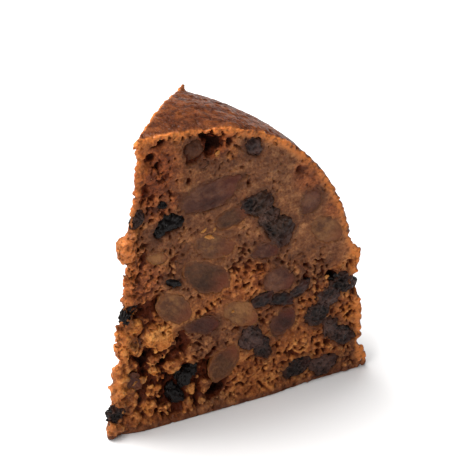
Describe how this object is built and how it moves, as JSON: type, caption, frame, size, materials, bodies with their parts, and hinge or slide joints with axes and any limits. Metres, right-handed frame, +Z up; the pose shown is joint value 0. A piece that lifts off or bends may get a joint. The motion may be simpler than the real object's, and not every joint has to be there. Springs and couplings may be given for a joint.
{
  "type": "christmas pudding slice",
  "caption": "Cut slice of a dark, fruit-filled Christmas pudding, standing upright on the pudding's flat broad end.",
  "frame": {"origin": "middle of the slice's flat underside, on the surface that it stands on", "axes": "+Z up from the flat underside; +X runs along the foot of the front cut face, from the slice's point towards the skin; +Y runs back into the slice"},
  "size_m": [0.0628, 0.0477, 0.0724],
  "materials": {
    "crumb": "moist, open brown pudding crumb",
    "skin": "close, faintly sheeny steamed skin",
    "sultana": "plump, moist golden-brown vine fruit",
    "raisin": "wrinkled, near-black vine fruit",
    "peel": "small amber pieces of candied peel and nut"
  },
  "bodies": {
    "root": {"pudding_slice": "crumb"}
  },
  "joints": []
}
